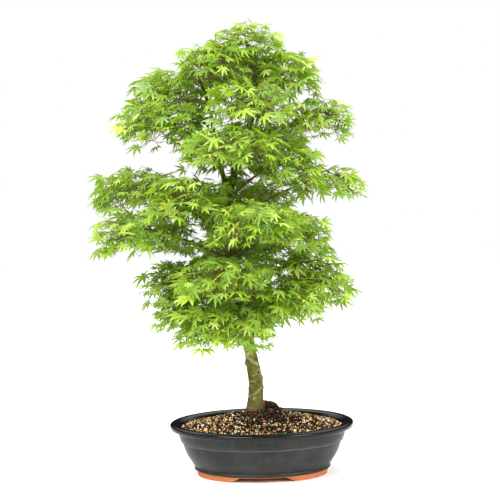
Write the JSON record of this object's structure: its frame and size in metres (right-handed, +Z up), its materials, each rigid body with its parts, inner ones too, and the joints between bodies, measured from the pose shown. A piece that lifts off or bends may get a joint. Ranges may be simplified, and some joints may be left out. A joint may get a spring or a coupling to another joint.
{
  "type": "bonsai tree in a pot",
  "caption": "Small Japanese maple bonsai with layered sprays of green leaves on a leaning trunk, in an oval dark glazed pot with a notched terracotta foot.",
  "frame": {"origin": "on the plane the pot stands on, below the middle of the whole object's bounding box", "axes": "+Z up, +X along the pot's long axis to the viewer's right, +Y to the back"},
  "size_m": [0.5255, 0.4205, 0.8544],
  "materials": {
    "pot_glaze": "satin",
    "soil_mix": "matte",
    "trunk_bark": "matte",
    "branch_bark": "matte",
    "leaf_green": "satin",
    "screen_plastic": "matte",
    "clip_wire": "satin"
  },
  "bodies": {
    "root": {"pot": "pot_glaze", "soil": "soil_mix", "trunk": "trunk_bark", "drain_screen_left": "screen_plastic", "drain_screen_right": "screen_plastic", "screen_clip_left": "clip_wire", "screen_clip_right": "clip_wire", "branch_low_front": "branch_bark", "branch_low_front_right": "branch_bark", "branch_low_left": "branch_bark", "branch_low_right": "branch_bark", "branch_low_back": "branch_bark", "branch_lower_left": "branch_bark", "branch_lower_right": "branch_bark", "branch_lower_front": "branch_bark", "branch_lower_back": "branch_bark", "branch_middle_left_low": "branch_bark", "branch_middle_left_high": "branch_bark", "branch_middle_left_front": "branch_bark", "branch_middle_right": "branch_bark", "branch_middle_right_arm": "branch_bark", "branch_middle_front": "branch_bark", "branch_middle_back": "branch_bark", "branch_upper_front_right": "branch_bark", "branch_upper_left": "branch_bark", "branch_upper_left_high": "branch_bark", "branch_upper_right": "branch_bark", "branch_upper_front": "branch_bark", "branch_upper_back": "branch_bark", "branch_crown_left": "branch_bark", "branch_crown_right": "branch_bark", "branch_crown_front": "branch_bark", "branch_crown_back": "branch_bark", "leaves_low_front": "leaf_green", "leaves_low_front_right": "leaf_green", "leaves_low_left": "leaf_green", "leaves_low_right": "leaf_green", "leaves_low_back": "leaf_green", "leaves_lower_left": "leaf_green", "leaves_lower_right": "leaf_green", "leaves_lower_front": "leaf_green", "leaves_lower_back": "leaf_green", "leaves_middle_left_low": "leaf_green", "leaves_middle_left_high": "leaf_green", "leaves_middle_left_front": "leaf_green", "leaves_middle_right": "leaf_green", "leaves_middle_right_arm": "leaf_green", "leaves_middle_front": "leaf_green", "leaves_middle_back": "leaf_green", "leaves_upper_front_right": "leaf_green", "leaves_upper_left": "leaf_green", "leaves_upper_left_high": "leaf_green", "leaves_upper_right": "leaf_green", "leaves_upper_front": "leaf_green", "leaves_upper_back": "leaf_green", "leaves_crown_left": "leaf_green", "leaves_crown_right": "leaf_green", "leaves_crown_front": "leaf_green", "leaves_crown_back": "leaf_green", "leaves_apex": "leaf_green"}
  },
  "joints": []
}
